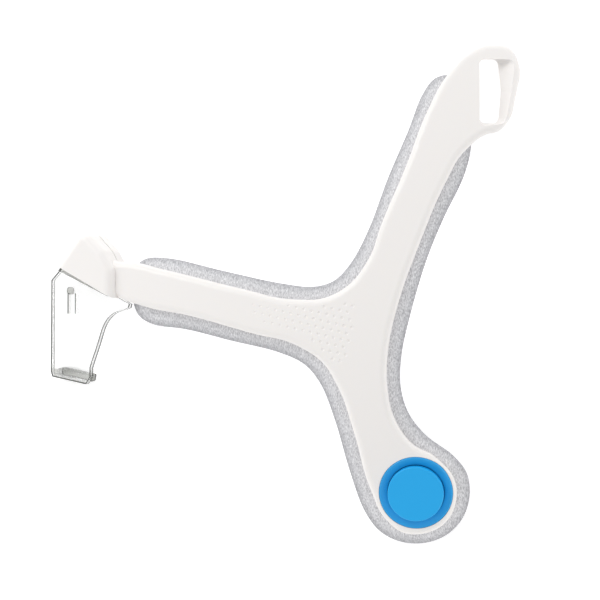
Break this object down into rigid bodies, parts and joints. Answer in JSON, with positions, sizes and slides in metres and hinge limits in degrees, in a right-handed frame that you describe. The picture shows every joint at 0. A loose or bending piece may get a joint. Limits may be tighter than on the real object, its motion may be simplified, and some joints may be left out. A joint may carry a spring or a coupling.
{
  "type": "cheek retractor arm",
  "caption": "Three-branched face arm with a cloth-covered cheek pad, a strap slot, a push-button strap catch and a clear blade that hooks the corner of the mouth.",
  "frame": {"origin": "centre of the bounding box in X and Y, at the surface the part lies on, cheek side down", "axes": "+Z away from the cheek side, +Y from the button end to the strap slot end, +X from the clear blade to the strap slot"},
  "size_m": [0.1445, 0.15, 0.0253],
  "materials": {
    "white_plastic": "satin",
    "blue_plastic": "satin",
    "clear_plastic": "polished clear",
    "grey_knit": "heather grey knit",
    "foam": "soft foam",
    "liner_plastic": "plain sheet",
    "hook_nylon": "hook fastener",
    "stem_plastic": "acetal",
    "steel": "stainless",
    "brass": "knurled"
  },
  "bodies": {
    "frame": {"arm_shell": "white_plastic", "end_housing": "white_plastic", "socket_plate": "white_plastic", "button_cup": "white_plastic", "button_ring": "blue_plastic", "cup_screws": "steel", "socket_screws": "steel", "thread_inserts": "brass", "retaining_leaf": "steel", "button_spring": "steel", "hook_strip_cheek": "hook_nylon", "hook_strip_temple": "hook_nylon", "hook_strip_jaw": "hook_nylon"},
    "button": {"button_cap": "blue_plastic", "button_stem": "stem_plastic", "stem_clip": "steel"},
    "blade": {"retractor_blade": "clear_plastic"},
    "pad": {"pad_cover": "grey_knit", "pad_liner": "liner_plastic", "pad_foam": "foam"}
  },
  "joints": [
    {"name": "button_press", "type": "slide", "parent": "frame", "child": "button", "axis": [-0.1379, 0.2634, -0.9548], "range_m": [0, 0.0014], "stiffness_N_per_m": 2500, "springref_m": -0.0004, "deforming": ["button_spring"]},
    {"name": "blade_release", "type": "slide", "parent": "frame", "child": "blade", "axis": [-0.5144, -0.8429, -0.1578], "range_m": [0, 0.009]},
    {"name": "pad_release", "type": "slide", "parent": "frame", "child": "pad", "axis": [-0.1379, 0.2634, -0.9548], "range_m": [0, 0.012]}
  ]
}
